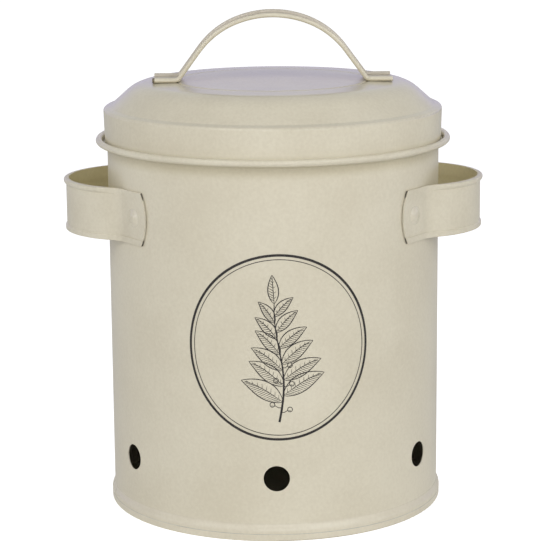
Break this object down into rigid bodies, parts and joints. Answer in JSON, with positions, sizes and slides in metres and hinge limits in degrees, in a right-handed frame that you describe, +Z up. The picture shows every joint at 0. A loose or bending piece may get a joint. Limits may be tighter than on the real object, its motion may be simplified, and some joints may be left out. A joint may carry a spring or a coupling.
{
  "type": "onion storage box",
  "caption": "Round cream sheet-steel storage tin with a curled rim, lift-off domed lid with a strap handle, riveted side loops and low vent holes.",
  "frame": {"origin": "centre of the ring that the tin stands on, at the height of its underside", "axes": "+Z up along the tin's axis, -Y towards the printed front, +X towards the right side loop"},
  "size_m": [0.2502, 0.2104, 0.2937],
  "materials": {
    "cream_enamel": "semi-gloss cream powder coat over sheet steel"
  },
  "bodies": {
    "tin": {"body_wall": "cream_enamel", "base_pan": "cream_enamel", "right_handle": "cream_enamel", "left_handle": "cream_enamel", "right_front_rivet": "cream_enamel", "right_back_rivet": "cream_enamel", "left_front_rivet": "cream_enamel", "left_back_rivet": "cream_enamel"},
    "lid": {"lid_cover": "cream_enamel", "lid_handle": "cream_enamel"}
  },
  "joints": [
    {"name": "lid_lift", "type": "slide", "parent": "tin", "child": "lid", "axis": [0, 0, 1], "range_m": [0, 0.12]}
  ]
}
